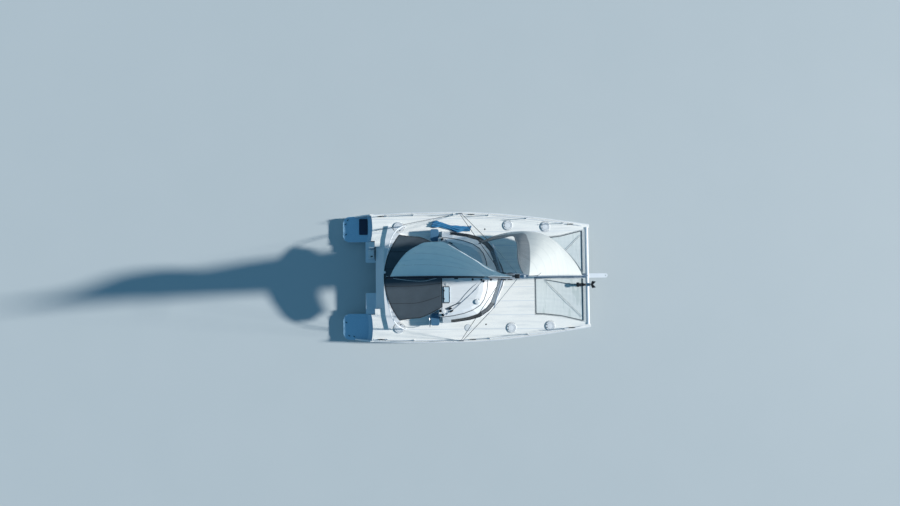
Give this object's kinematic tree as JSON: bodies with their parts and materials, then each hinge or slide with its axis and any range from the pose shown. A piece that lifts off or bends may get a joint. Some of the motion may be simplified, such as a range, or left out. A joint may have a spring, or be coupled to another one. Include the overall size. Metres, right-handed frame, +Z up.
{
  "type": "sailing catamaran",
  "caption": "Cruising sailing catamaran with both sails set, cockpit canopy, trampolines, opening hatches, turning rudders and propellers.",
  "frame": {"origin": "on the waterline, on the centre plane, midway between the transoms and the bow tips", "axes": "+X towards the bows, +Y to port, +Z up"},
  "size_m": [11.98, 5.896, 15.35],
  "materials": {
    "gelcoat": "moulded gelcoat",
    "grey_moulding": "moulded grey with non-slip",
    "antifoul": "rolled antifouling paint",
    "dark_glass": "tinted acrylic",
    "aluminium": "anodised",
    "steel": "polished stainless",
    "bronze": "cast bronze",
    "black_plastic": "moulded",
    "navy": "moulded navy",
    "mainsail_cloth": "woven sailcloth",
    "genoa_cloth": "woven sailcloth",
    "canopy_cloth": "woven acrylic canvas",
    "mesh_cloth": "knotted net",
    "blue_cloth": "plain weave"
  },
  "bodies": {
    "boat": {"hull_port": "gelcoat", "hull_starboard": "gelcoat", "bridge_deck": "gelcoat", "cabin": "gelcoat", "window_front": "dark_glass", "window_port": "dark_glass", "window_starboard": "dark_glass", "door_track": "aluminium", "cockpit_settee": "gelcoat", "aft_coaming": "gelcoat", "seat_locker": "gelcoat", "helm_console": "gelcoat", "roof_vent": "steel", "winches_port": "steel", "winches_starboard": "steel", "aft_arch": "aluminium", "canopy_bow": "aluminium", "canopy": "canopy_cloth", "keel_port": "antifoul", "keel_starboard": "antifoul", "engine_leg_port": "grey_moulding", "engine_leg_starboard": "grey_moulding", "aft_platform_port": "grey_moulding", "aft_platform_starboard": "grey_moulding", "canister": "gelcoat", "bow_crossbeam": "aluminium", "centre_spar": "aluminium", "bowsprit": "aluminium", "anchor_roller": "steel", "anchor": "black_plastic", "trampoline_port": "mesh_cloth", "trampoline_starboard": "mesh_cloth", "mast": "aluminium", "spreaders": "aluminium", "shrouds_port": "steel", "shrouds_starboard": "steel", "forestay": "aluminium", "genoa": "genoa_cloth", "guard_rail_port": "steel", "guard_rail_starboard": "steel", "blue_bundle": "blue_cloth"},
    "door": {"companionway_door": "dark_glass"},
    "wheel": {"helm_wheel": "steel"},
    "rudder_port": {"rudder_port": "antifoul"},
    "rudder_starboard": {"rudder_starboard": "antifoul"},
    "propeller_port": {"propeller_port": "bronze"},
    "propeller_starboard": {"propeller_starboard": "bronze"},
    "boom": {"boom": "aluminium", "mainsail": "mainsail_cloth"},
    "hatch_port_aft": {"hatch_port_aft": "gelcoat"},
    "hatch_port_fore": {"hatch_port_fore": "gelcoat"},
    "hatch_starboard_aft": {"hatch_starboard_aft": "gelcoat"},
    "hatch_starboard_fore": {"hatch_starboard_fore": "gelcoat"},
    "locker_lid_port": {"locker_lid_port": "gelcoat"},
    "locker_lid_starboard": {"locker_lid_starboard": "gelcoat"},
    "roof_hatch_port": {"roof_hatch_port": "dark_glass"},
    "roof_hatch_starboard": {"roof_hatch_starboard": "dark_glass"},
    "stern_lid_port": {"stern_lid_port": "navy"}
  },
  "joints": [
    {"name": "rudder_port_turn", "type": "hinge", "parent": "boat", "child": "rudder_port", "pos_m": [-4.9, 2.26, -0.3], "axis": [0, 0, 1], "range_deg": [-35, 35]},
    {"name": "rudder_starboard_turn", "type": "hinge", "parent": "boat", "child": "rudder_starboard", "pos_m": [-4.9, -2.26, -0.3], "axis": [0, 0, 1], "range_deg": [-35, 35]},
    {"name": "wheel_turn", "type": "hinge", "parent": "boat", "child": "wheel", "pos_m": [-1.5563, -1.865, 1.7947], "axis": [0.9997, 0, 0.026], "range_deg": [-350, 350]},
    {"name": "propeller_port_spin", "type": "hinge", "parent": "boat", "child": "propeller_port", "pos_m": [-3.62, 2.3, -0.8], "axis": [1, 0, 0], "continuous": true},
    {"name": "propeller_starboard_spin", "type": "hinge", "parent": "boat", "child": "propeller_starboard", "pos_m": [-3.62, -2.3, -0.8], "axis": [1, 0, 0], "continuous": true},
    {"name": "boom_swing", "type": "hinge", "parent": "boat", "child": "boom", "pos_m": [0.86, 0, 3.9], "axis": [0, 0, 1], "range_deg": [-12, 60]},
    {"name": "door_slide", "type": "slide", "parent": "boat", "child": "door", "axis": [0, 1, 0], "range_m": [0, 0.84]},
    {"name": "hatch_port_aft_hinge", "type": "hinge", "parent": "boat", "child": "hatch_port_aft", "pos_m": [2.16927, 2.29, 1.4367], "axis": [0, 1, 0], "range_deg": [0, 85]},
    {"name": "hatch_port_fore_hinge", "type": "hinge", "parent": "boat", "child": "hatch_port_fore", "pos_m": [3.8387, 2.21, 1.48011], "axis": [0, 1, 0], "range_deg": [0, 85]},
    {"name": "hatch_starboard_aft_hinge", "type": "hinge", "parent": "boat", "child": "hatch_starboard_aft", "pos_m": [2.26923, -2.29, 1.4393], "axis": [0, 1, 0], "range_deg": [0, 85]},
    {"name": "hatch_starboard_fore_hinge", "type": "hinge", "parent": "boat", "child": "hatch_starboard_fore", "pos_m": [3.98865, -2.22, 1.484], "axis": [0, 1, 0], "range_deg": [0, 85]},
    {"name": "locker_lid_port_hinge", "type": "hinge", "parent": "boat", "child": "locker_lid_port", "pos_m": [-2.949, 2.495, 1.30363], "axis": [-0.9997, 0, -0.026], "range_deg": [0, 85]},
    {"name": "locker_lid_starboard_hinge", "type": "hinge", "parent": "boat", "child": "locker_lid_starboard", "pos_m": [-2.949, -2.495, 1.30363], "axis": [0.9997, 0, 0.026], "range_deg": [0, 85]},
    {"name": "roof_hatch_port_hinge", "type": "hinge", "parent": "boat", "child": "roof_hatch_port", "pos_m": [-0.66, 0.755, 2.4903], "axis": [0, 1, 0], "range_deg": [0, 70]},
    {"name": "roof_hatch_starboard_hinge", "type": "hinge", "parent": "boat", "child": "roof_hatch_starboard", "pos_m": [-0.66, -0.755, 2.4903], "axis": [0, 1, 0], "range_deg": [0, 70]},
    {"name": "stern_lid_port_hinge", "type": "hinge", "parent": "boat", "child": "stern_lid_port", "pos_m": [-4.455, 2.37, 0.4503], "axis": [0, 1, 0], "range_deg": [0, 85]}
  ],
  "couplings": [
    {"joint": "rudder_starboard_turn", "follows": "rudder_port_turn", "ratio": 1},
    {"joint": "wheel_turn", "follows": "rudder_port_turn", "ratio": 10}
  ]
}
